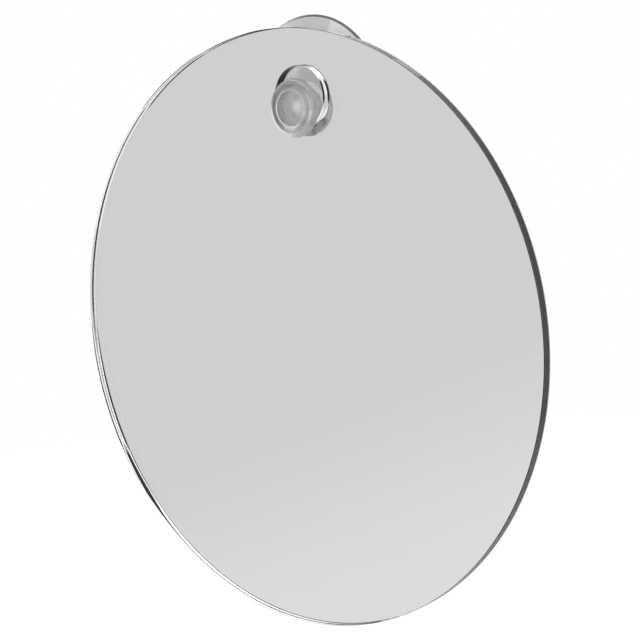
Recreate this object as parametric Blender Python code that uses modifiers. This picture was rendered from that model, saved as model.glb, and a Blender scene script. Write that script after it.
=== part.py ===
"""Round fog-free shower mirror, hung by its hole on the stud of a clear suction cup.

Metres, +Z up. The origin is the centre of the suction cup's contact ring, so the
wall is the plane Y = 0 and the mirror looks towards -Y.
"""

import math

import bmesh
import bpy

MM = 0.001

# Clearances
RUNNING_GAP = 0.3 * MM  # between the stud and the plate that turns on it
BOND_GAP = 0.05 * MM  # glue line between the plate's laminated layers
CUT_OVERRUN = 2.0 * MM  # how far a cutter stands out of what it cuts

# Mirror plate, laser-cut from laminated acrylic sheet
PLATE_DIAMETER = 180.0 * MM
ACRYLIC_THICKNESS = 2.6 * MM
REFLECTIVE_THICKNESS = 0.05 * MM
BACKING_THICKNESS = 0.1 * MM
FOG_FREE_THICKNESS = 0.1 * MM
HOLE_DIAMETER = 18.5 * MM
HOLE_TO_PLATE_EDGE = 10.75 * MM
EDGE_CHAMFER = 0.12 * MM

# Suction cup, one soft moulding, shown pressed flat on its wall
CUP_DIAMETER = 54.0 * MM
LIP_THICKNESS = 0.9 * MM
LIP_CONTACT_WIDTH = 5.0 * MM
SKIRT_THICKNESS = 0.8 * MM
CHAMBER_DEPTH = 1.1 * MM
HUB_HEIGHT = 3.05 * MM
HUB_DIAMETER = 15.0 * MM
BEAD_WIDTH = 1.4 * MM
LIP_UNDERCUT = 0.2 * MM

# Stud and mushroom head of the suction cup
NECK_DIAMETER = 12.0 * MM
NECK_FILLET = 0.5 * MM
HEAD_BACK_DIAMETER = 17.4 * MM
HEAD_FRONT_DIAMETER = 16.6 * MM
HEAD_SIDE_HEIGHT = 1.3 * MM
HEAD_BACK_ROUND = 0.35 * MM
HEAD_FRONT_ROUND = 0.7 * MM
HEAD_CROWN_HEIGHT = 0.65 * MM
FACE_DIAMETER = 10.8 * MM
FACE_RECESS = 0.25 * MM
FACE_RECESS_SLOPE = 0.2 * MM
FACE_DISH = 0.12 * MM
FRONT_ROUND_TURN = 60  # degrees, between the crown's slope and the head's side

# Smoothness
MERGE_DISTANCE = 0.001 * MM
PLATE_SEGMENTS = 144
HOLE_SEGMENTS = 64
CUP_SEGMENTS = 72
CURVE_STEPS = 5
FILLET_STEPS = 3
SMOOTH_ANGLE = math.radians(35)
CHAMFER_MIN_ANGLE = math.radians(60)

# Places that follow from the sizes, as heights above the wall
PLATE_BACK = HUB_HEIGHT + NECK_FILLET + RUNNING_GAP
REFLECTIVE_BACK = PLATE_BACK + BACKING_THICKNESS + BOND_GAP
ACRYLIC_BACK = REFLECTIVE_BACK + REFLECTIVE_THICKNESS + BOND_GAP
FOG_FREE_BACK = ACRYLIC_BACK + ACRYLIC_THICKNESS + BOND_GAP
PLATE_FRONT = FOG_FREE_BACK + FOG_FREE_THICKNESS
HEAD_BACK = PLATE_FRONT + RUNNING_GAP + NECK_FILLET

HOLE_FROM_PLATE_CENTRE = (PLATE_DIAMETER - HOLE_DIAMETER) / 2 - HOLE_TO_PLATE_EDGE

# The stud rests against the bottom of the hole, as the photograph shows it
HOLE_ABOVE_STUD = (HOLE_DIAMETER - NECK_DIAMETER) / 2 - RUNNING_GAP
PLATE_CENTRE_Z = HOLE_ABOVE_STUD - HOLE_FROM_PLATE_CENTRE

# Turns an object's local +Z towards the room, which is -Y
FACING_ROOM = (math.pi / 2, 0, 0)


def clear_scene():
    """Remove every object that is already in the file."""
    for item in list(bpy.data.objects):
        bpy.data.objects.remove(item, do_unlink=True)


def make_collection(name):
    collection = bpy.data.collections.new(name)
    bpy.context.scene.collection.children.link(collection)
    return collection


def make_material(name, colour, roughness, metallic=0.0, transmission=0.0, alpha=1.0):
    """A Principled material with the piece's colour, roughness and metallic value."""
    material = bpy.data.materials.new(name)
    material.use_nodes = True
    shader = material.node_tree.nodes["Principled BSDF"]
    shader.inputs["Base Color"].default_value = (*colour, 1)
    shader.inputs["Roughness"].default_value = roughness
    shader.inputs["Metallic"].default_value = metallic
    shader.inputs["Transmission Weight"].default_value = transmission
    shader.inputs["Alpha"].default_value = alpha
    material.diffuse_color = (*colour, alpha)
    return material


def add_object(name, mesh, collection, material=None):
    item = bpy.data.objects.new(name, mesh)
    collection.objects.link(item)
    if material:
        mesh.materials.append(material)
    return item


def cylinder_mesh(name, diameter, height, segments):
    """An upright cylinder that stands on its local XY plane."""
    mesh = bpy.data.meshes.new(name)
    work = bmesh.new()
    bmesh.ops.create_cone(
        work,
        cap_ends=True,
        segments=segments,
        radius1=diameter / 2,
        radius2=diameter / 2,
        depth=height,
    )
    bmesh.ops.translate(work, verts=work.verts, vec=(0, 0, height / 2))
    work.to_mesh(mesh)
    work.free()
    return mesh


def shade(mesh):
    mesh.shade_smooth()
    mesh.set_sharp_from_angle(angle=SMOOTH_ANGLE)


def smooth_step(share):
    """0 to 1 with level ends, for a skirt that leaves the lip flat and meets the hub flat."""
    return share * share * (3 - 2 * share)


def arc(centre, radius, start, end, steps):
    """Points (radius, height) along an arc, both ends included; angles in degrees."""
    points = []
    for step in range(steps + 1):
        angle = math.radians(start + (end - start) * step / steps)
        points.append((centre[0] + radius * math.cos(angle), centre[1] + radius * math.sin(angle)))
    return points


def head_profile():
    """The mushroom head, from the middle of its face out and down to the neck."""
    face_radius = FACE_DIAMETER / 2
    front_radius = HEAD_FRONT_DIAMETER / 2
    back_radius = HEAD_BACK_DIAMETER / 2
    shoulder = HEAD_BACK + HEAD_BACK_ROUND + HEAD_SIDE_HEIGHT
    crown = shoulder + HEAD_FRONT_ROUND + HEAD_CROWN_HEIGHT
    recess = crown - FACE_RECESS
    recess_radius = face_radius - FACE_RECESS_SLOPE

    points = []
    for step in range(CURVE_STEPS):
        share = step / CURVE_STEPS
        points.append((recess_radius * share, recess - FACE_DISH * (1 - share * share)))
    points.append((recess_radius, recess))
    points.append((face_radius, crown))

    round_start = front_radius - HEAD_FRONT_ROUND
    for step in range(1, CURVE_STEPS):
        share = step / CURVE_STEPS
        radius = face_radius + (round_start - face_radius) * share
        points.append((radius, crown - HEAD_CROWN_HEIGHT * share * share))
    points += arc((round_start, shoulder), HEAD_FRONT_ROUND, FRONT_ROUND_TURN, 0, FILLET_STEPS)
    points += arc((back_radius - HEAD_BACK_ROUND, HEAD_BACK + HEAD_BACK_ROUND), HEAD_BACK_ROUND, 0, -90, FILLET_STEPS)
    return points


def neck_profile():
    """The neck, with a fillet under the head and another onto the hub."""
    outer = NECK_DIAMETER / 2 + NECK_FILLET
    under_head = arc((outer, HEAD_BACK - NECK_FILLET), NECK_FILLET, 90, 180, FILLET_STEPS)
    onto_hub = arc((outer, HUB_HEIGHT + NECK_FILLET), NECK_FILLET, 180, 270, FILLET_STEPS)
    return under_head + onto_hub


def bell_profile():
    """The pressed bell: hub, thinning skirt, beaded lip, flat contact ring and shallow chamber."""
    cup_radius = CUP_DIAMETER / 2
    hub_radius = HUB_DIAMETER / 2
    bead_inner = cup_radius - BEAD_WIDTH
    contact_inner = cup_radius - LIP_CONTACT_WIDTH
    lip_round = LIP_THICKNESS / 2
    bell_steps = 2 * CURVE_STEPS

    points = []
    for step in range(bell_steps + 1):
        share = step / bell_steps
        radius = hub_radius + (bead_inner - hub_radius) * share
        points.append((radius, HUB_HEIGHT - (HUB_HEIGHT - SKIRT_THICKNESS) * smooth_step(share)))
    points += arc((cup_radius - lip_round, lip_round), lip_round, 90, 0, FILLET_STEPS)
    points.append((cup_radius - LIP_UNDERCUT, 0))
    for step in range(bell_steps + 1):
        share = step / bell_steps
        points.append((contact_inner * (1 - share), CHAMBER_DEPTH * smooth_step(share)))
    return points


def make_suction_cup(collection, material):
    """The cup is turned: its half section is screwed once round its own axis."""
    profile = head_profile() + neck_profile() + bell_profile()
    mesh = bpy.data.meshes.new("suction_cup")
    corners = [(radius, 0, height) for radius, height in profile]
    edges = [(first, first + 1) for first in range(len(corners) - 1)]
    mesh.from_pydata(corners, edges, [])
    cup = add_object("suction_cup", mesh, collection, material)
    cup.rotation_euler = FACING_ROOM
    turn = cup.modifiers.new("turned section", "SCREW")
    turn.axis = "Z"
    turn.angle = math.tau
    turn.steps = turn.render_steps = CUP_SEGMENTS
    turn.use_merge_vertices = True
    turn.merge_threshold = MERGE_DISTANCE
    turn.use_smooth_shade = True
    return cup


def make_hole_cutter(collection, parent):
    """One cutter for the hanging hole, long enough to pass through every layer."""
    height = PLATE_FRONT - PLATE_BACK + 2 * CUT_OVERRUN
    mesh = cylinder_mesh("hanging_hole_cutter", HOLE_DIAMETER, height, HOLE_SEGMENTS)
    cutter = add_object("hanging_hole_cutter", mesh, collection)
    cutter.parent = parent
    cutter.location = (0, HOLE_FROM_PLATE_CENTRE, PLATE_BACK - CUT_OVERRUN)
    cutter.hide_render = True
    cutter.display_type = "WIRE"
    return cutter


def make_plate_layer(name, back, thickness, cutter, collection, material, parent, chamfer=0.0):
    """One layer of the plate: a disc of the plate's outline with the hanging hole cut out."""
    mesh = cylinder_mesh(name, PLATE_DIAMETER, thickness, PLATE_SEGMENTS)
    layer = add_object(name, mesh, collection, material)
    layer.parent = parent
    layer.location = (0, 0, back)
    hole = layer.modifiers.new("hanging hole", "BOOLEAN")
    hole.operation = "DIFFERENCE"
    hole.object = cutter
    if chamfer:
        edge = layer.modifiers.new("cut edge", "BEVEL")
        edge.width = chamfer
        edge.segments = 1
        edge.limit_method = "ANGLE"
        edge.angle_limit = CHAMFER_MIN_ANGLE
    shade(mesh)
    return layer


def make_plate(collection, cutters, materials):
    """The four bonded layers, all carried by one empty on the swivel's axis."""
    swivel = bpy.data.objects.new("plate_swivel", None)
    collection.objects.link(swivel)
    swivel.rotation_euler = FACING_ROOM
    centre = bpy.data.objects.new("plate_centre", None)
    collection.objects.link(centre)
    centre.parent = swivel
    centre.location = (0, PLATE_CENTRE_Z, 0)

    cutter = make_hole_cutter(cutters, centre)
    layers = (
        ("backing_coat", PLATE_BACK, BACKING_THICKNESS, 0.0),
        ("reflective_film", REFLECTIVE_BACK, REFLECTIVE_THICKNESS, 0.0),
        ("acrylic_sheet", ACRYLIC_BACK, ACRYLIC_THICKNESS, EDGE_CHAMFER),
        ("fog_free_film", FOG_FREE_BACK, FOG_FREE_THICKNESS, 0.0),
    )
    for name, back, thickness, chamfer in layers:
        make_plate_layer(name, back, thickness, cutter, collection, materials[name], centre, chamfer)


def build():
    clear_scene()
    parts = make_collection("fogless_shower_mirror")
    cutters = make_collection("cutters")
    materials = {
        "suction_cup": make_material("clear soft vinyl", (0.86, 0.88, 0.88), 0.18, transmission=0.8, alpha=0.6),
        "acrylic_sheet": make_material("clear acrylic", (0.93, 0.95, 0.95), 0.03, transmission=0.95, alpha=0.4),
        "reflective_film": make_material("vacuum-metallised aluminium", (0.86, 0.87, 0.88), 0.02, metallic=1.0),
        "backing_coat": make_material("grey protective paint", (0.33, 0.34, 0.36), 0.55),
        "fog_free_film": make_material("clear fog-free film", (0.96, 0.97, 0.97), 0.02, transmission=1.0, alpha=0.15),
    }
    make_suction_cup(parts, materials["suction_cup"])
    make_plate(parts, cutters, materials)


build()
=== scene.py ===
"""Looks, light and camera for the fog-free shower mirror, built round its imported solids."""

import math

import bmesh
import bpy
from mathutils import Matrix, Vector


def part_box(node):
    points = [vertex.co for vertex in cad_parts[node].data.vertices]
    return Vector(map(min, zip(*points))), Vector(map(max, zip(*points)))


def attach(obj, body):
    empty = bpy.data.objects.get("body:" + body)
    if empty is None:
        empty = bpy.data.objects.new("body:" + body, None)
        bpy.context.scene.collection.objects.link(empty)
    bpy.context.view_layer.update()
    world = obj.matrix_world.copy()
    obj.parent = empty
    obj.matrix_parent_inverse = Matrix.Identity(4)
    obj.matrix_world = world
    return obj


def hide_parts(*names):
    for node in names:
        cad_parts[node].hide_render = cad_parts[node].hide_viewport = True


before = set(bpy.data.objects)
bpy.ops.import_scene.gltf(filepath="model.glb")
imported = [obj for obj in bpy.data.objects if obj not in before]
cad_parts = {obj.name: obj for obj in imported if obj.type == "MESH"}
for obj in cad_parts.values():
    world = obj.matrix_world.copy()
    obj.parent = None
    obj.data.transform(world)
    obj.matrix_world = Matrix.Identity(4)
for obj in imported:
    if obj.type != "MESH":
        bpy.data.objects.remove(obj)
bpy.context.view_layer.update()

MM = 0.001

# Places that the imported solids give; heights above the wall are positive here
ACRYLIC_LOW, ACRYLIC_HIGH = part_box("acrylic_sheet")
PLATE_RADIUS = (ACRYLIC_HIGH[0] - ACRYLIC_LOW[0]) / 2
PLATE_CENTRE_Z = (ACRYLIC_HIGH[2] + ACRYLIC_LOW[2]) / 2
PLATE_BACK = -ACRYLIC_HIGH[1]
PLATE_FRONT = -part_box("fog_free_film")[0][1]
PLATE_MIDDLE = Vector((0, -PLATE_FRONT, PLATE_CENTRE_Z))
CUP_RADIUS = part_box("suction_cup")[1][0]

# Mirror plate
HOLE_RADIUS = 9.25 * MM
HOLE_TO_PLATE_EDGE = 10.75 * MM
HOLE_ABOVE_CENTRE = PLATE_RADIUS - HOLE_TO_PLATE_EDGE - HOLE_RADIUS
EDGE_CHAMFER = 0.12 * MM
RIM_SEGMENTS = 480
HOLE_SEGMENTS = 192
PLATE_SHARP_ANGLE = 30
FACE_SLOT, RIM_SLOT, MIRROR_SLOT, HOLE_SLOT = range(4)

# Rows of points on a cut wall, from the back to the front: inset and height
EDGE_ROWS = (
    (EDGE_CHAMFER, PLATE_BACK),
    (0, PLATE_BACK + EDGE_CHAMFER),
    (0, PLATE_FRONT - EDGE_CHAMFER),
    (EDGE_CHAMFER, PLATE_FRONT),
)

# Every curve below is a row of points with straight runs between them. In a curve round a cut or
# round the cup's axis, a point is (degrees anticlockwise from the right-hand side, value).

# Painted dark reflections on the laser-cut walls, thin lines standing in for the dark surroundings,
# each as three curves: the middle of the line and its half width, both as shares of the way from the
# front face to the back, and how strong the line is
RIM_LINE = (
    ((103, 0.50), (105, 0.10), (119, 0.10), (136, 0.08), (137, 0.24), (188, 0.24), (196, 0.22),
     (214, 0.25)),
    ((103, 0.55), (105, 0.05), (117, 0.16), (121, 0.36), (126, 0.32), (136.3, 0.26), (137, 0.12),
     (190, 0.12), (196, 0.20), (204, 0.24), (215, 0.24)),
    ((0, 0.0), (86, 0.0), (90, 0.9), (93, 1.0), (103, 1.0), (105, 0.0), (116, 0.0), (118, 1.0),
     (136.3, 1.0), (136.6, 0.0), (187, 0.0), (189, 0.7), (192, 1.0), (215, 1.0), (215.8, 0.0)),
)
RIM_BACK_LINE = (
    ((105, 0.84), (128, 0.90), (150, 0.92), (160, 0.87), (186, 0.87), (214, 0.86), (216, 0.80),
     (218, 0.78), (222, 0.74), (226.6, 0.72), (229, 0.80), (231.6, 0.88), (235, 0.94), (240, 0.97),
     (262, 0.97), (300, 0.93)),
    ((105, 0.26), (112, 0.18), (118, 0.10), (128, 0.08), (150, 0.11), (160, 0.14), (184, 0.13),
     (192, 0.10), (214, 0.10), (216, 0.20), (218, 0.23), (222, 0.28), (226.6, 0.29), (229, 0.22),
     (231.6, 0.17), (235, 0.11), (240, 0.06), (250, 0.03), (257, 0.03), (266, 0.15), (290, 0.13)),
    ((0, 0.0), (102, 0.0), (103, 1.0), (115, 1.0), (118, 0.0), (136.3, 0.0), (136.6, 1.0),
     (184, 1.0), (186, 0.8), (205, 0.7), (213, 0.4), (214, 0.4), (216, 1.0), (283, 1.0),
     (288, 0.3), (292, 0.0)),
)
RIM_FRONT_LINE = (
    ((0, 0.03), (214, 0.03), (216, 0.05), (222, 0.05), (226, 0.03), (360, 0.03)),
    ((0, 0.08), (200, 0.06), (214, 0.06), (216, 0.17), (222, 0.13), (228, 0.03), (250, 0.03),
     (258, 0.10), (266, 0.15), (282, 0.14), (290, 0.08)),
    ((0, 1.0), (75, 0.9), (100, 0.8), (106, 0.0), (132, 0.0), (136, 0.5), (140, 0.1), (204, 0.1),
     (208, 0.8), (216, 1.0), (282, 1.0), (290, 0.6), (330, 1.0)),
)
HOLE_LINE = (
    ((0, 0.34), (20, 0.36), (38, 0.42), (346, 0.34)),
    ((0, 0.27), (10, 0.30), (34, 0.29), (42, 0.18), (350, 0.2)),
    ((0, 1.0), (34, 1.0), (42, 0.3), (46, 0.0), (346, 0.0), (352, 0.5), (356, 1.0)),
)
HOLE_FRONT_LINE = (
    ((0, 0.03), (360, 0.03)),
    ((0, 0.07), (75, 0.07), (85, 0.14), (115, 0.14), (125, 0.05)),
    ((0, 0.6), (15, 0.9), (60, 0.9), (85, 0.7), (115, 0.7), (130, 0.9), (150, 0.9), (170, 0.0),
     (300, 0.0), (340, 0.6)),
)
LINE_SOFTNESS = 0.02
LINE_RAGGEDNESS = 0.8

# How frosted the clear part of the rim is
RIM_FROST = (
    (0, 0.0), (42, 0.0), (60, 0.02), (72, 0.06), (80, 0.1), (100, 0.1), (120, 0.02), (300, 0.02),
    (320, 0.04), (350, 0.03), (357, 0.0),
)

# Tones and textures of the plate; a texture's size is in cells per metre
ACRYLIC_IOR = 1.49
COATED_FACE_TONE = 0.99
SHEET_WAVES = 9
SHEET_WAVE_DEPTH = 0.02 * MM
CUT_TONE = 0.97
CUT_ROUGHNESS = 0.03
# Tone of the painted dark reflections on the cut walls
DARK_REFLECTION_TONE = 0.012
RIPPLE_PITCH = 0.5 * MM
RIPPLE_CHANGE_THROUGH = 0.6
RIPPLE_DEPTH = 0.002 * MM
MIRROR_TONES = (0.855, 0.865)
MIRROR_CLOUDS = 14
PAINT_DARK = (0.29, 0.30, 0.32)
PAINT_LIGHT = (0.37, 0.38, 0.40)
PAINT_MIDDLE = (0.33, 0.34, 0.36)
PAINT_ROUGHNESS = (0.4, 0.6)
PAINT_CLOUDS = 60
PAINT_CLOUD_ROUGHNESS = 0.6
PAINT_PEEL = 900
PAINT_PEEL_DEPTH = 0.02 * MM

# Suction cup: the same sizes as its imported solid, with finer curves
LIP_THICKNESS = 0.9 * MM
LIP_CONTACT_WIDTH = 5.0 * MM
LIP_UNDERCUT = 0.2 * MM
SKIRT_THICKNESS = 0.8 * MM
CHAMBER_DEPTH = 1.1 * MM
HUB_HEIGHT = 3.05 * MM
HUB_RADIUS = 7.5 * MM
BEAD_WIDTH = 1.4 * MM
# The bead's outer band, where its painted dark reflection starts
BEAD_DARK_WIDTH = 0.65 * MM
BEAD_DARK_HEIGHT = 0.88 * MM
NECK_RADIUS = 6.0 * MM
NECK_FILLET = 0.5 * MM
HEAD_BACK = 7.65 * MM
HEAD_BACK_RADIUS = 8.7 * MM
HEAD_FRONT_RADIUS = 8.3 * MM
HEAD_SIDE_HEIGHT = 1.3 * MM
HEAD_BACK_ROUND = 0.35 * MM
HEAD_FRONT_ROUND = 0.7 * MM
HEAD_FRONT_ROUND_TURN = 60
HEAD_CROWN_HEIGHT = 0.65 * MM
HEAD_SHOULDER = HEAD_BACK + HEAD_BACK_ROUND + HEAD_SIDE_HEIGHT
HEAD_TOP = HEAD_SHOULDER + HEAD_FRONT_ROUND + HEAD_CROWN_HEIGHT
BRIM_RADIUS = 7.15 * MM
FACE_RADIUS = 5.4 * MM
FACE_RECESS = 0.25 * MM
FACE_RECESS_SLOPE = 0.2 * MM
FACE_DISH = 0.12 * MM
LIP_DENT = 0.5 * MM
LIP_DENT_MIDDLE = 118
LIP_DENT_HALF = 55
CUP_SEGMENTS = 192
CUP_SHARP_ANGLE = 40
FACE_STEPS = 16
CROWN_STEPS = 18
BELL_STEPS = 40
FRONT_ROUND_STEPS = 10
ROUND_STEPS = 8
ON_AXIS = 0.001 * MM

# Painted light and shade of the vinyl, as tones by the angle round the cup's axis
CROWN_TURNS = (
    (0, 1.05), (40, 1.0), (130, 0.85), (150, 0.72), (215, 0.72), (240, 1.0), (262, 2.6), (290, 2.2),
    (320, 1.0), (360, 1.1),
)
STEP_TURNS = ((0, 0.5), (60, 0.7), (100, 1.0), (200, 1.2), (240, 0.8), (300, 0.5), (340, 0.5))
BRIM_TURNS = (
    (0, 0.42), (60, 0.34), (160, 0.35), (180, 0.55), (195, 0.95), (228, 0.95), (250, 0.8),
    (275, 0.8), (310, 0.6),
)
UNDERSIDE_TURNS = ((0, 1.0), (280, 1.0), (292, 0.65), (303, 1.0), (318, 1.0), (331, 0.5), (345, 1.0))
SKIRT_TURNS = (
    (0, 1.25), (30, 1.0), (60, 0.95), (102, 0.98), (110, 1.15), (120, 1.5), (140, 1.4), (170, 1.0),
    (260, 1.2), (300, 1.5), (340, 1.0), (360, 1.4),
)
SIDE_TURNS = ((0, 0.6), (60, 0.6), (100, 0.7), (170, 0.65), (192, 1.05), (255, 1.05), (290, 0.7))
BEAD_TURNS = ((0, 1.0), (94, 1.0), (104, 2.0), (113, 5.0), (120, 9.0), (150, 9.0), (200, 1.0))

# Haze of the vinyl by the same angle
BRIM_HAZE_TURNS = ((0, 0.35), (160, 0.35), (190, 0.9), (250, 0.9), (280, 0.4))
SIDE_HAZE_TURNS = (
    (0, 0.55), (60, 0.5), (110, 0.3), (170, 0.4), (192, 0.9), (255, 0.9), (280, 0.6), (300, 0.5),
)

# Painted light and shade of the vinyl, as tones by the distance from the cup's axis, in millimetres
RADIUS_REACH = 36
CROWN_RADII = ((0, 0.48), (5.6, 0.48), (6.2, 0.26), (36, 0.30))
SKIRT_RADII = (
    (0, 0.54), (10, 0.54), (12, 0.65), (18, 0.65), (20, 0.48), (24, 0.51), (27, 0.57), (36, 0.57),
)
CHAMBER_RADII = ((0, 1.0), (2, 1.0), (3.5, 0.5), (9.5, 0.5), (12, 0.8), (20, 0.9), (36, 0.9))

# Finishes of the cup's regions, in the order of its outline: name, tone by distance, tone by
# angle, roughness and haze by angle. A number in place of a curve holds everywhere. The two tones
# are painted light and shade: the step's pale tone is a painted highlight, the bead's dark tone a
# painted dark reflection, and the other regions are lit and shaded copies of one vinyl.
VINYL_FINISHES_AND_SHADE = (
    ("vinyl_face", 0.37, 1.0, 0.30, 0.35),
    ("vinyl_step", 0.86, STEP_TURNS, 0.20, 0.60),
    ("vinyl_crown", CROWN_RADII, CROWN_TURNS, 0.32, 0.35),
    ("vinyl_brim", 1.0, BRIM_TURNS, 0.20, BRIM_HAZE_TURNS),
    ("vinyl_side", 0.90, SIDE_TURNS, 0.12, SIDE_HAZE_TURNS),
    ("vinyl_underside", 1.0, UNDERSIDE_TURNS, 0.15, 0.90),
    ("vinyl_neck", 0.90, 1.0, 0.40, 0.40),
    ("vinyl_skirt", SKIRT_RADII, SKIRT_TURNS, 0.10, 0.28),
    ("vinyl_bead", 0.08, BEAD_TURNS, 0.12, 0.85),
    ("vinyl_chamber", CHAMBER_RADII, 1.0, 0.08, 0.25),
)
VINYL_IOR = 1.53
VINYL_TONE = 0.6
VINYL_CLOUDS = 220
VINYL_UNEVENNESS = 0.08
VINYL_WAVES = 160
VINYL_WAVE_DEPTH = 0.03 * MM

# Regions that scatter light inside, and regions with fine mottles
SCATTERING_REGIONS = ("vinyl_underside", "vinyl_neck")
SCATTERING_SHARE = 0.7
SCATTERING_REACH = 3 * MM
MOTTLED_REGIONS = ("vinyl_face", "vinyl_crown")
MOTTLES = 900
MOTTLE_SPREAD = 0.35

# Painted soft highlight on the head's face, and the painted lighter sector of the bell that stands in
# for the bright surroundings seen through it, in degrees clockwise from the top
FACE_HIGHLIGHT = (2.4 * MM, 0, 0.7 * MM)
FACE_HIGHLIGHT_RADIUS = 2.6 * MM
FACE_HIGHLIGHT_GAIN = 0.7
BRIGHT_SECTOR_START = 12.5
BRIGHT_SECTOR_FULL = 14.5
BRIGHT_SECTOR_FADE = 60
BRIGHT_SECTOR_END = 160
BRIGHT_SECTOR_INNER = 16 * MM
BRIGHT_SECTOR_OUTER = 20 * MM
BRIGHT_SECTOR_GAIN = 0.45

# Camera, as fitted to the photograph
CAMERA_AZIMUTH = 41.32
CAMERA_ELEVATION = 12.28
CAMERA_ROLL = 1.55
CAMERA_DISTANCE = 0.5395
CLIP_START = 10 * MM
IMAGE_WIDTH = 640
FOCAL_PIXELS = 1800
CENTRE_OFFSET_PIXELS = (-27.8, 12.0)
SENSOR_WIDTH = 36

# World: steps over its directions, each an axis with a start and an end along it, and the tones
FRONT_STEP = ((-0.373, 0.0, 0.621), 0.001, 0.082)
ABOVE_STEP = ((0, 0, 1), 0.0, 0.2)
BELOW_STEP = ((0, 0, -1), 0.4, 0.5)
BEHIND_STEP = ((0, 1, 0), -0.1, 0.2)
FRONT_TONES = (0.836, 0.737)
ABOVE_TONE = 1.3
BELOW_TONE = 1.05
BEHIND_TONE = 1.0
BACKGROUND_TONE = 1.0

# Floor, and how far rays that see it are lifted: the camera's, and those that a mirror or a clear
# piece sends on, from the fade's start out to the floor's rim
FLOOR_RADIUS = 1.0
FLOOR_SEGMENTS = 96
FLOOR_MIDDLE = 0.5
FLOOR_HEIGHT = -0.45
FLOOR_TONE = 0.56
FLOOR_TONE_SPREAD = 0.01
FLOOR_ROUGHNESS = 0.9
FLOOR_GRAIN = 30
FLOOR_LIFT = 0.36
FLOOR_MIRRORED_LIFT = 0.08
FLOOR_RIM_LIFT = 0.32
FLOOR_FADE_START = 0.75

# Soft lamps: name, azimuth, elevation, distance, size and radiance
LAMPS = (
    ("key_lamp", -25, 74, 1.3, 0.9, 1.1),
    ("back_lamp", -140, 52, 1.3, 0.9, 0.85),
)


# Nodes

def new_material(name, colour, roughness, ior=ACRYLIC_IOR, metallic=0.0, transmission=0.0):
    """A Principled material; values that are the same all over sit on the shader itself."""
    material = bpy.data.materials.new(name)
    material.use_nodes = True
    nodes = material.node_tree.nodes
    links = material.node_tree.links
    shader = nodes["Principled BSDF"]
    shader.inputs["Base Color"].default_value = (*colour, 1)
    shader.inputs["Roughness"].default_value = roughness
    shader.inputs["IOR"].default_value = ior
    shader.inputs["Metallic"].default_value = metallic
    shader.inputs["Transmission Weight"].default_value = transmission
    return material, nodes, links, shader


def grey(tone):
    return (tone, tone, tone)


def math_node(nodes, links, operation, first, second=0.0):
    """A sum on two values, each a socket or a number."""
    node = nodes.new("ShaderNodeMath")
    node.operation = operation
    for value, socket in ((first, node.inputs[0]), (second, node.inputs[1])):
        if isinstance(value, (int, float)):
            socket.default_value = value
        else:
            links.new(value, socket)
    return node.outputs["Value"]


def product(nodes, links, factors):
    result = factors[0]
    for factor in factors[1:]:
        result = math_node(nodes, links, "MULTIPLY", result, factor)
    return result


def vector_node(nodes, links, operation, vector, constant=None):
    node = nodes.new("ShaderNodeVectorMath")
    node.operation = operation
    links.new(vector, node.inputs[0])
    if constant is not None:
        node.inputs[1].default_value = constant
    return node.outputs["Vector" if operation == "MULTIPLY" else "Value"]


def split_vector(nodes, links, vector):
    split = nodes.new("ShaderNodeSeparateXYZ")
    links.new(vector, split.inputs["Vector"])
    return split.outputs["X"], split.outputs["Y"], split.outputs["Z"]


def object_place(nodes):
    """The place in the object's own metres, which stays put when the piece moves."""
    return nodes.new("ShaderNodeTexCoord").outputs["Object"]


def object_noise(nodes, links, scale, detail=2.0, roughness=0.5):
    noise = nodes.new("ShaderNodeTexNoise")
    noise.inputs["Scale"].default_value = scale
    noise.inputs["Detail"].default_value = detail
    noise.inputs["Roughness"].default_value = roughness
    links.new(object_place(nodes), noise.inputs["Vector"])
    return noise.outputs["Fac"]


def spread(nodes, links, value, low, high):
    """Map a 0 to 1 value onto low to high."""
    node = nodes.new("ShaderNodeMapRange")
    node.inputs["To Min"].default_value = low
    node.inputs["To Max"].default_value = high
    links.new(value, node.inputs["Value"])
    return node.outputs["Result"]


def smooth_range(nodes, links, value, low, high, low_value=0.0, high_value=1.0):
    """Map low to high onto two values, with a smooth step between them."""
    node = nodes.new("ShaderNodeMapRange")
    node.interpolation_type = "SMOOTHSTEP"
    node.inputs["From Min"].default_value = low
    node.inputs["From Max"].default_value = high
    node.inputs["To Min"].default_value = low_value
    node.inputs["To Max"].default_value = high_value
    links.new(value, node.inputs["Value"])
    return node.outputs["Result"]


def curve_node(nodes, links, value, points, reach=360):
    """A value read off a curve; its points run from 0 to reach where the given value runs to 1."""
    node = nodes.new("ShaderNodeFloatCurve")
    node.mapping.use_clip = False
    curve = node.mapping.curves[0]
    shares = [(place / reach, height) for place, height in points]
    if shares[0][0] > 0:
        shares.insert(0, (0, shares[0][1]))
    if shares[-1][0] < 1:
        shares.append((1, shares[-1][1]))
    curve.points[0].location = shares[0]
    curve.points[1].location = shares[-1]
    for share in shares[1:-1]:
        curve.points.new(*share)
    for point in curve.points:
        point.handle_type = "VECTOR"
    node.mapping.update()
    links.new(value, node.inputs["Value"])
    return node.outputs["Value"]


def mix_values(nodes, links, share, first, second):
    """A value between two others, each a socket or a number."""
    mix = nodes.new("ShaderNodeMix")
    mix.data_type = "FLOAT"
    links.new(share, mix.inputs["Factor"])
    for value, socket in ((first, mix.inputs["A"]), (second, mix.inputs["B"])):
        if isinstance(value, float):
            socket.default_value = value
        else:
            links.new(value, socket)
    return mix.outputs["Result"]


def tint(nodes, links, value, dark, light):
    """Colour between two tones by a 0 to 1 value."""
    ramp = nodes.new("ShaderNodeValToRGB")
    ramp.color_ramp.elements[0].color = (*dark, 1)
    ramp.color_ramp.elements[1].color = (*light, 1)
    links.new(value, ramp.inputs["Fac"])
    return ramp.outputs["Color"]


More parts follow.
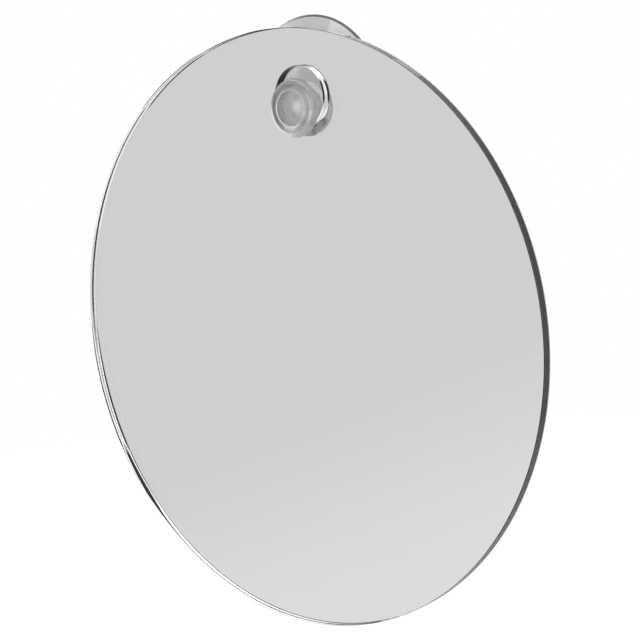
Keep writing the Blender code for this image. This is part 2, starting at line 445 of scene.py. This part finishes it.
def add_bump(nodes, links, shader, height, depth):
    bump = nodes.new("ShaderNodeBump")
    bump.inputs["Strength"].default_value = 1.0
    bump.inputs["Distance"].default_value = depth
    links.new(height, bump.inputs["Height"])
    links.new(bump.outputs["Normal"], shader.inputs["Normal"])


# Materials of the plate

def make_coated_face():
    """The clear front, with the faint waviness of cast sheet."""
    material, nodes, links, shader = new_material(
        "fog_free_face", grey(COATED_FACE_TONE), 0.0, transmission=1.0)
    waves = object_noise(nodes, links, SHEET_WAVES, detail=1)
    add_bump(nodes, links, shader, waves, SHEET_WAVE_DEPTH)
    return material


def cut_line(nodes, links, turn, depth, ripples, line):
    """How dark one painted line of dark reflection is; where it is weak, the ripples make it ragged."""
    middles, halves, strengths = line
    middle = curve_node(nodes, links, turn, middles)
    half = curve_node(nodes, links, turn, halves)
    away = math_node(nodes, links, "ABSOLUTE", math_node(nodes, links, "SUBTRACT", depth, middle))
    beyond = math_node(nodes, links, "SUBTRACT", away, half)
    near = smooth_range(nodes, links, beyond, -LINE_SOFTNESS, LINE_SOFTNESS, 1.0, 0.0)
    strength = curve_node(nodes, links, turn, strengths)
    missing = math_node(nodes, links, "SUBTRACT", 1.0, strength)
    teeth = math_node(nodes, links, "SUBTRACT", ripples, 0.5)
    ragged = product(nodes, links, (strength, missing, teeth, LINE_RAGGEDNESS))
    present = math_node(nodes, links, "ADD", strength, ragged)
    present.node.use_clamp = True
    return math_node(nodes, links, "MULTIPLY", near, present)


def make_cut_edge(name, radius, lines, frost=None):
    """Laser-cut acrylic: clear and rippled, with a light frost and thin painted lines of dark reflection.

    U runs once round the cut from the right-hand side, and V from the front face to the back.
    """
    material, nodes, links, shader = new_material(name, grey(CUT_TONE), CUT_ROUGHNESS, transmission=1.0)
    shader.inputs["Specular IOR Level"].default_value = 0
    place = nodes.new("ShaderNodeUVMap").outputs["UV"]
    turn, depth, _ = split_vector(nodes, links, place)

    ripple = nodes.new("ShaderNodeTexNoise")
    ripple.noise_dimensions = "2D"
    ripple.inputs["Scale"].default_value = 1.0
    ripple.inputs["Detail"].default_value = 2.0
    ripples_round = math.tau * radius / RIPPLE_PITCH
    stretched = vector_node(nodes, links, "MULTIPLY", place, (ripples_round, RIPPLE_CHANGE_THROUGH, 0))
    links.new(stretched, ripple.inputs["Vector"])
    ripples = ripple.outputs["Fac"]
    add_bump(nodes, links, shader, ripples, RIPPLE_DEPTH)

    # Painted dark reflections: the darkest of the lines at each point
    dark_reflection = cut_line(nodes, links, turn, depth, ripples, lines[0])
    for line in lines[1:]:
        other = cut_line(nodes, links, turn, depth, ripples, line)
        dark_reflection = math_node(nodes, links, "MAXIMUM", dark_reflection, other)
    cloudy = dark_reflection
    if frost:
        cloudy = math_node(nodes, links, "MAXIMUM", dark_reflection, curve_node(nodes, links, turn, frost))
    # Where the painted dark reflections lie, the wall is neither clear nor pale
    links.new(math_node(nodes, links, "SUBTRACT", 1.0, cloudy), shader.inputs["Transmission Weight"])
    tone = tint(nodes, links, dark_reflection, grey(CUT_TONE), grey(DARK_REFLECTION_TONE))
    links.new(tone, shader.inputs["Base Color"])
    return material


def make_mirror():
    """Vacuum-metallised layer, seen through the acrylic."""
    low, high = MIRROR_TONES
    material, nodes, links, shader = new_material("mirror_layer", grey((low + high) / 2), 0.0, metallic=1.0)
    clouds = object_noise(nodes, links, MIRROR_CLOUDS)
    links.new(tint(nodes, links, clouds, grey(low), grey(high)), shader.inputs["Base Color"])
    return material


def make_backing_paint():
    """Matt grey paint, sprayed on: faint clouds and a fine orange peel."""
    low, high = PAINT_ROUGHNESS
    material, nodes, links, shader = new_material("backing_paint", PAINT_MIDDLE, (low + high) / 2)
    clouds = object_noise(nodes, links, PAINT_CLOUDS, detail=6, roughness=PAINT_CLOUD_ROUGHNESS)
    links.new(tint(nodes, links, clouds, PAINT_DARK, PAINT_LIGHT), shader.inputs["Base Color"])
    links.new(spread(nodes, links, clouds, low, high), shader.inputs["Roughness"])
    peel = object_noise(nodes, links, PAINT_PEEL)
    add_bump(nodes, links, shader, peel, PAINT_PEEL_DEPTH)
    return material


# Material of the cup

def axis_distance(nodes, links, middle=(0, 0, 0)):
    """Distance in metres from the cup's axis, or from a line beside it."""
    flat = vector_node(nodes, links, "MULTIPLY", object_place(nodes), (1, 0, 1))
    return vector_node(nodes, links, "DISTANCE", flat, middle)


def by_radius(nodes, links, points):
    """A value by the distance from the cup's axis."""
    if isinstance(points, float):
        return points
    share = math_node(nodes, links, "MULTIPLY", axis_distance(nodes, links), 1 / (RADIUS_REACH * MM))
    return curve_node(nodes, links, share, points, RADIUS_REACH)


def by_angle(nodes, links, points):
    """A value by the angle round the cup's axis."""
    if isinstance(points, float):
        return points
    x, _, z = split_vector(nodes, links, object_place(nodes))
    turn = math_node(nodes, links, "ARCTAN2", z, x)
    share = math_node(nodes, links, "FRACT", math_node(nodes, links, "MULTIPLY", turn, 1 / math.tau))
    return curve_node(nodes, links, share, points)


def painted_bright_sector(nodes, links):
    """A painted lighter sector on the right of the bell's top, standing in for the bright surroundings seen
    through the clear bell.
    """
    x, _, z = split_vector(nodes, links, object_place(nodes))
    turn = math_node(nodes, links, "ARCTAN2", x, z)
    start, full = math.radians(BRIGHT_SECTOR_START), math.radians(BRIGHT_SECTOR_FULL)
    fade, end = math.radians(BRIGHT_SECTOR_FADE), math.radians(BRIGHT_SECTOR_END)
    begun = smooth_range(nodes, links, turn, start, full, 0.0, BRIGHT_SECTOR_GAIN)
    fading = smooth_range(nodes, links, turn, fade, end, 1.0, 0.0)
    away = axis_distance(nodes, links)
    outer = smooth_range(nodes, links, away, BRIGHT_SECTOR_INNER, BRIGHT_SECTOR_OUTER)
    return math_node(nodes, links, "ADD", product(nodes, links, (begun, fading, outer)), 1.0)


def painted_highlight_tone(nodes, links):
    """A painted soft highlight on the right of the head's face."""
    away = axis_distance(nodes, links, FACE_HIGHLIGHT)
    return smooth_range(nodes, links, away, 0.0, FACE_HIGHLIGHT_RADIUS, 1.0 + FACE_HIGHLIGHT_GAIN, 1.0)


def make_vinyl(name, radius_tones, angle_tones, roughness, hazes):
    """Clear soft vinyl, a little hazy and uneven inside, with painted light and shade in its tone."""
    material, nodes, links, shader = new_material(
        name, grey(VINYL_TONE), roughness, ior=VINYL_IOR, transmission=1.0)
    clouds = object_noise(nodes, links, VINYL_CLOUDS, detail=4)
    links.new(spread(nodes, links, clouds, 0.5 * roughness, 1.5 * roughness), shader.inputs["Roughness"])
    low, high = 1 - VINYL_UNEVENNESS, 1 + VINYL_UNEVENNESS

    clear = spread(nodes, links, clouds, high, low)
    clear = math_node(nodes, links, "SUBTRACT", clear, by_angle(nodes, links, hazes))
    clear.node.use_clamp = True
    links.new(clear, shader.inputs["Transmission Weight"])

    # Tone: random unevenness times painted light and shade by distance and by angle
    tones = [
        spread(nodes, links, clouds, low, high),
        by_radius(nodes, links, radius_tones),
        by_angle(nodes, links, angle_tones),
    ]
    # The skirt takes the painted lighter sector and the face the painted highlight
    if name == "vinyl_skirt":
        tones.append(painted_bright_sector(nodes, links))
    if name == "vinyl_face":
        tones.append(painted_highlight_tone(nodes, links))
    if name in MOTTLED_REGIONS:
        mottles = object_noise(nodes, links, MOTTLES)
        tones.append(spread(nodes, links, mottles, 1 - MOTTLE_SPREAD, 1 + MOTTLE_SPREAD))
    tone = product(nodes, links, tones)
    tone.node.use_clamp = True
    links.new(tone, shader.inputs["Base Color"])

    if name in SCATTERING_REGIONS:
        shader.inputs["Subsurface Weight"].default_value = SCATTERING_SHARE
        shader.inputs["Subsurface Radius"].default_value = (1, 1, 1)
        shader.inputs["Subsurface Scale"].default_value = SCATTERING_REACH
    waves = object_noise(nodes, links, VINYL_WAVES)
    add_bump(nodes, links, shader, waves, VINYL_WAVE_DEPTH)
    return material


# Shapes

def smooth_step(share):
    return share * share * (3 - 2 * share)


def arc(centre, radius, start, end, steps=ROUND_STEPS):
    """Points (radius, height) along an arc, both ends included; angles in degrees."""
    points = []
    for step in range(steps + 1):
        angle = math.radians(start + (end - start) * step / steps)
        points.append((centre[0] + radius * math.cos(angle), centre[1] + radius * math.sin(angle)))
    return points


def around(centre_z, radius, height, turn):
    """A point at an angle round an axis that points into the room."""
    return Vector((radius * math.cos(turn), -height, centre_z + radius * math.sin(turn)))


def finished_mesh(work, name):
    mesh = bpy.data.meshes.new(name)
    work.to_mesh(mesh)
    work.free()
    return mesh


def add_object(name, data):
    item = bpy.data.objects.new(name, data)
    bpy.context.scene.collection.objects.link(item)
    return item


def lip_dent(radius, turn):
    """How far the soft bell is drawn in on its upper left, more towards its lip."""
    away = abs(math.degrees(turn) - LIP_DENT_MIDDLE) / LIP_DENT_HALF
    if away >= 1 or radius < CUP_RADIUS / 2:
        return 0
    return LIP_DENT * smooth_step(1 - away) * smooth_step(2 * radius / CUP_RADIUS - 1)


def turned_mesh(name, regions, segments):
    """A closed body turned from (radius, height) points that run from the front of the axis to its back.

    Each region of the outline takes the material slot of its own number.
    """
    work = bmesh.new()
    turns = [math.tau * step / segments for step in range(segments)]
    rings = []
    slots = []
    for slot, region in enumerate(regions):
        for radius, height in region:
            slots.append(slot)
            if radius < ON_AXIS:
                rings.append([work.verts.new(around(0, 0, height, 0))])
                continue
            rings.append([
                work.verts.new(around(0, radius - lip_dent(radius, turn), height, turn)) for turn in turns
            ])
    for slot, first, second in zip(slots, rings, rings[1:]):
        for step in range(segments):
            after = (step + 1) % segments
            corners = [first[step % len(first)], second[step % len(second)],
                       second[after % len(second)], first[after % len(first)]]
            face = work.faces.new(list(dict.fromkeys(corners)))
            face.material_index = slot
    bmesh.ops.recalc_face_normals(work, faces=work.faces)
    mesh = finished_mesh(work, name)
    mesh.shade_smooth()
    mesh.set_sharp_from_angle(angle=math.radians(CUP_SHARP_ANGLE))
    return mesh


def face_profile():
    """The dished round face of the head, out to its step."""
    recess = HEAD_TOP - FACE_RECESS
    recess_radius = FACE_RADIUS - FACE_RECESS_SLOPE
    points = []
    for step in range(FACE_STEPS + 1):
        share = step / FACE_STEPS
        points.append((recess_radius * share, recess - FACE_DISH * (1 - share * share)))
    return points


def head_profile():
    """The rest of the head: crown, brim, rounded side and flat underside, down to the neck."""
    round_start = HEAD_FRONT_RADIUS - HEAD_FRONT_ROUND
    crown = [(FACE_RADIUS, HEAD_TOP)]
    brim = []
    for step in range(1, CROWN_STEPS):
        share = step / CROWN_STEPS
        radius = FACE_RADIUS + (round_start - FACE_RADIUS) * share
        region = crown if radius < BRIM_RADIUS else brim
        region.append((radius, HEAD_TOP - HEAD_CROWN_HEIGHT * share * share))
    front_centre = (round_start, HEAD_SHOULDER)
    side = arc(front_centre, HEAD_FRONT_ROUND, HEAD_FRONT_ROUND_TURN, 0, FRONT_ROUND_STEPS)
    back_centre = (HEAD_BACK_RADIUS - HEAD_BACK_ROUND, HEAD_BACK + HEAD_BACK_ROUND)
    underside = arc(back_centre, HEAD_BACK_ROUND, 0, -90)
    return crown, brim, side, underside


def neck_profile():
    """The neck, with a fillet under the head and another onto the hub."""
    outer = NECK_RADIUS + NECK_FILLET
    under_head = arc((outer, HEAD_BACK - NECK_FILLET), NECK_FILLET, 90, 180)
    onto_hub = arc((outer, HUB_HEIGHT + NECK_FILLET), NECK_FILLET, 180, 270)
    return under_head + onto_hub


def skirt_profile():
    """The outside of the pressed bell, from its hub to the bead."""
    bead_inner = CUP_RADIUS - BEAD_WIDTH
    points = []
    for step in range(BELL_STEPS + 1):
        share = step / BELL_STEPS
        radius = HUB_RADIUS + (bead_inner - HUB_RADIUS) * share
        points.append((radius, HUB_HEIGHT - (HUB_HEIGHT - SKIRT_THICKNESS) * smooth_step(share)))
    return points


def bead_profile():
    """The beaded lip, from where the skirt ends to its underside."""
    lip_round = LIP_THICKNESS / 2
    dark_start = (CUP_RADIUS - BEAD_DARK_WIDTH, BEAD_DARK_HEIGHT)
    return [dark_start] + arc((CUP_RADIUS - lip_round, lip_round), lip_round, 90, 0)


def chamber_profile():
    """The flat contact ring and the shallow chamber inside it."""
    contact_inner = CUP_RADIUS - LIP_CONTACT_WIDTH
    points = [(CUP_RADIUS - LIP_UNDERCUT, 0)]
    for step in range(BELL_STEPS + 1):
        share = step / BELL_STEPS
        points.append((contact_inner * (1 - share), CHAMBER_DEPTH * smooth_step(share)))
    return points


def make_cup():
    face = face_profile()
    regions = (
        face[:-1], face[-1:], *head_profile(), neck_profile(), skirt_profile(), bead_profile(),
        chamber_profile(),
    )
    mesh = turned_mesh("vinyl_suction_cup", regions, CUP_SEGMENTS)
    for finish in VINYL_FINISHES_AND_SHADE:
        mesh.materials.append(make_vinyl(*finish))
    cup = add_object("vinyl_suction_cup", mesh)
    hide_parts("suction_cup")
    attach(cup, "suction_cup")


def cut_wall(work, uv, centre_z, radius, inwards, segments, slot):
    """One cut wall with its faces; gives back its rings of points at the back and at the front.

    U is the share of a turn, and V the share of the depth.
    """
    rings = []
    for inset, height in EDGE_ROWS:
        rings.append([
            work.verts.new(around(centre_z, radius + inwards * inset, height, math.tau * step / segments))
            for step in range(segments)
        ])
    for low, high in zip(rings, rings[1:]):
        for step in range(segments):
            after = (step + 1) % segments
            face = work.faces.new([low[step], low[after], high[after], high[step]])
            face.material_index = slot
            face.smooth = True
            for loop in face.loops:
                turns = step if loop.vert in (low[step], high[step]) else step + 1
                depth = (PLATE_FRONT + loop.vert.co.y) / (PLATE_FRONT - PLATE_BACK)
                loop[uv].uv = (turns / segments, depth)
    return rings[0], rings[-1]


def make_plate():
    """One laminated plate: coated front face, laser-cut walls and the mirror layer on its back."""
    work = bmesh.new()
    uv = work.loops.layers.uv.new("along_the_cut")
    hole_centre = PLATE_CENTRE_Z + HOLE_ABOVE_CENTRE
    outer_back, outer_front = cut_wall(work, uv, PLATE_CENTRE_Z, PLATE_RADIUS, -1, RIM_SEGMENTS, RIM_SLOT)
    inner_back, inner_front = cut_wall(work, uv, hole_centre, HOLE_RADIUS, 1, HOLE_SEGMENTS, HOLE_SLOT)
    for outer, inner, slot in (
        (outer_front, inner_front, FACE_SLOT),
        (outer_back, inner_back, MIRROR_SLOT),
    ):
        edges = [
            work.edges.get(pair)
            for ring in (outer, inner) for pair in zip(ring, ring[1:] + ring[:1])
        ]
        filled = bmesh.ops.triangle_fill(work, use_beauty=True, use_dissolve=False, edges=edges)
        for item in filled["geom"]:
            if isinstance(item, bmesh.types.BMFace):
                item.material_index = slot
                item.smooth = False
    bmesh.ops.recalc_face_normals(work, faces=work.faces)
    mesh = finished_mesh(work, "laminated_plate")
    mesh.set_sharp_from_angle(angle=math.radians(PLATE_SHARP_ANGLE))
    rim_lines = (RIM_LINE, RIM_BACK_LINE, RIM_FRONT_LINE)
    rim = make_cut_edge("laser_cut_rim", PLATE_RADIUS, rim_lines, RIM_FROST)
    hole = make_cut_edge("laser_cut_hole", HOLE_RADIUS, (HOLE_LINE, HOLE_FRONT_LINE))
    for material in (make_coated_face(), rim, make_mirror(), hole):
        mesh.materials.append(material)
    plate = add_object("laminated_plate", mesh)
    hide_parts("acrylic_sheet", "fog_free_film")
    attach(plate, "mirror_plate")


def dress_nodes():
    """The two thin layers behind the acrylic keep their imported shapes."""
    for node, material in (("reflective_film", make_mirror()), ("backing_coat", make_backing_paint())):
        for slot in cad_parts[node].material_slots:
            slot.material = material


# Stage, light and camera

def direction_step(nodes, links, step, low_value=0.0, high_value=1.0):
    """A smooth step over the world's directions, along one axis."""
    axis, low, high = step
    place = nodes.new("ShaderNodeTexCoord").outputs["Generated"]
    along = vector_node(nodes, links, "DOT_PRODUCT", place, axis)
    return smooth_range(nodes, links, along, low, high, low_value, high_value)


def make_world():
    """A white studio with a paler grey side in front on the left, as the mirror shows it."""
    world = bpy.data.worlds.new("studio")
    bpy.context.scene.world = world
    world.use_nodes = True
    nodes = world.node_tree.nodes
    links = world.node_tree.links
    front = direction_step(nodes, links, FRONT_STEP, *FRONT_TONES)
    above = direction_step(nodes, links, ABOVE_STEP)
    below = direction_step(nodes, links, BELOW_STEP)
    behind = direction_step(nodes, links, BEHIND_STEP)
    front = mix_values(nodes, links, above, front, ABOVE_TONE)
    front = mix_values(nodes, links, below, front, BELOW_TONE)
    everywhere = mix_values(nodes, links, behind, front, BEHIND_TONE)
    path = nodes.new("ShaderNodeLightPath")
    seen = mix_values(nodes, links, path.outputs["Is Camera Ray"], everywhere, BACKGROUND_TONE)
    links.new(seen, nodes["Background"].inputs["Strength"])
    nodes["Background"].inputs["Color"].default_value = (1, 1, 1, 1)


def make_floor():
    """A pale round floor well below the object, lifted to white for the camera."""
    work = bmesh.new()
    bmesh.ops.create_circle(work, cap_ends=True, radius=FLOOR_RADIUS, segments=FLOOR_SEGMENTS)
    mesh = finished_mesh(work, "floor")
    floor = add_object("floor", mesh)
    floor.location = (0, FLOOR_MIDDLE, FLOOR_HEIGHT)
    material, nodes, links, shader = new_material("pale_floor", grey(FLOOR_TONE), FLOOR_ROUGHNESS)
    grain = object_noise(nodes, links, FLOOR_GRAIN, detail=3)
    dark, light = grey(FLOOR_TONE - FLOOR_TONE_SPREAD), grey(FLOOR_TONE + FLOOR_TONE_SPREAD)
    links.new(tint(nodes, links, grain, dark, light), shader.inputs["Base Color"])

    path = nodes.new("ShaderNodeLightPath").outputs
    mirrored = math_node(nodes, links, "MAXIMUM", path["Is Glossy Ray"], path["Is Transmission Ray"])
    away = vector_node(nodes, links, "LENGTH", object_place(nodes))
    lift = smooth_range(
        nodes, links, away, FLOOR_FADE_START, FLOOR_RADIUS, FLOOR_MIRRORED_LIFT, FLOOR_RIM_LIFT)
    mirrored = math_node(nodes, links, "MULTIPLY", mirrored, lift)
    seen = math_node(nodes, links, "MULTIPLY", path["Is Camera Ray"], FLOOR_LIFT)
    shader.inputs["Emission Color"].default_value = (1, 1, 1, 1)
    links.new(math_node(nodes, links, "MAXIMUM", seen, mirrored), shader.inputs["Emission Strength"])
    mesh.materials.append(material)


def direction(azimuth, elevation):
    """The way from the object to a lamp or the camera; at azimuth 0 it is straight in front."""
    azimuth, elevation = math.radians(azimuth), math.radians(elevation)
    return Vector((
        math.sin(azimuth) * math.cos(elevation),
        -math.cos(azimuth) * math.cos(elevation),
        math.sin(elevation),
    ))


def make_lamp(name, azimuth, elevation, distance, size, radiance):
    """A square soft lamp that faces the middle of the plate."""
    away = direction(azimuth, elevation)
    data = bpy.data.lights.new(name, "AREA")
    data.size = size
    data.energy = radiance * math.pi * size * size
    lamp = add_object(name, data)
    lamp.location = PLATE_MIDDLE + away * distance
    lamp.rotation_mode = "QUATERNION"
    lamp.rotation_quaternion = away.to_track_quat("Z", "Y")


def make_camera():
    """The photograph's camera, turned a little about its own view."""
    back = direction(CAMERA_AZIMUTH, CAMERA_ELEVATION)
    azimuth, roll = math.radians(CAMERA_AZIMUTH), math.radians(CAMERA_ROLL)
    level = Vector((math.cos(azimuth), math.sin(azimuth), 0))
    upright = back.cross(level)
    right = level * math.cos(roll) + upright * math.sin(roll)
    up = upright * math.cos(roll) - level * math.sin(roll)
    data = bpy.data.cameras.new("camera")
    data.sensor_width = SENSOR_WIDTH
    data.lens = FOCAL_PIXELS * SENSOR_WIDTH / IMAGE_WIDTH
    data.shift_x = -CENTRE_OFFSET_PIXELS[0] / IMAGE_WIDTH
    data.shift_y = CENTRE_OFFSET_PIXELS[1] / IMAGE_WIDTH
    data.clip_start = CLIP_START
    camera = add_object("camera", data)
    turned = Matrix((right, up, back)).transposed().to_4x4()
    camera.matrix_world = Matrix.Translation(PLATE_MIDDLE + back * CAMERA_DISTANCE) @ turned
    bpy.context.scene.camera = camera


make_camera()
make_world()
make_floor()
for lamp in LAMPS:
    make_lamp(*lamp)
make_plate()
make_cup()
dress_nodes()
bpy.context.scene.view_settings.view_transform = "Standard"
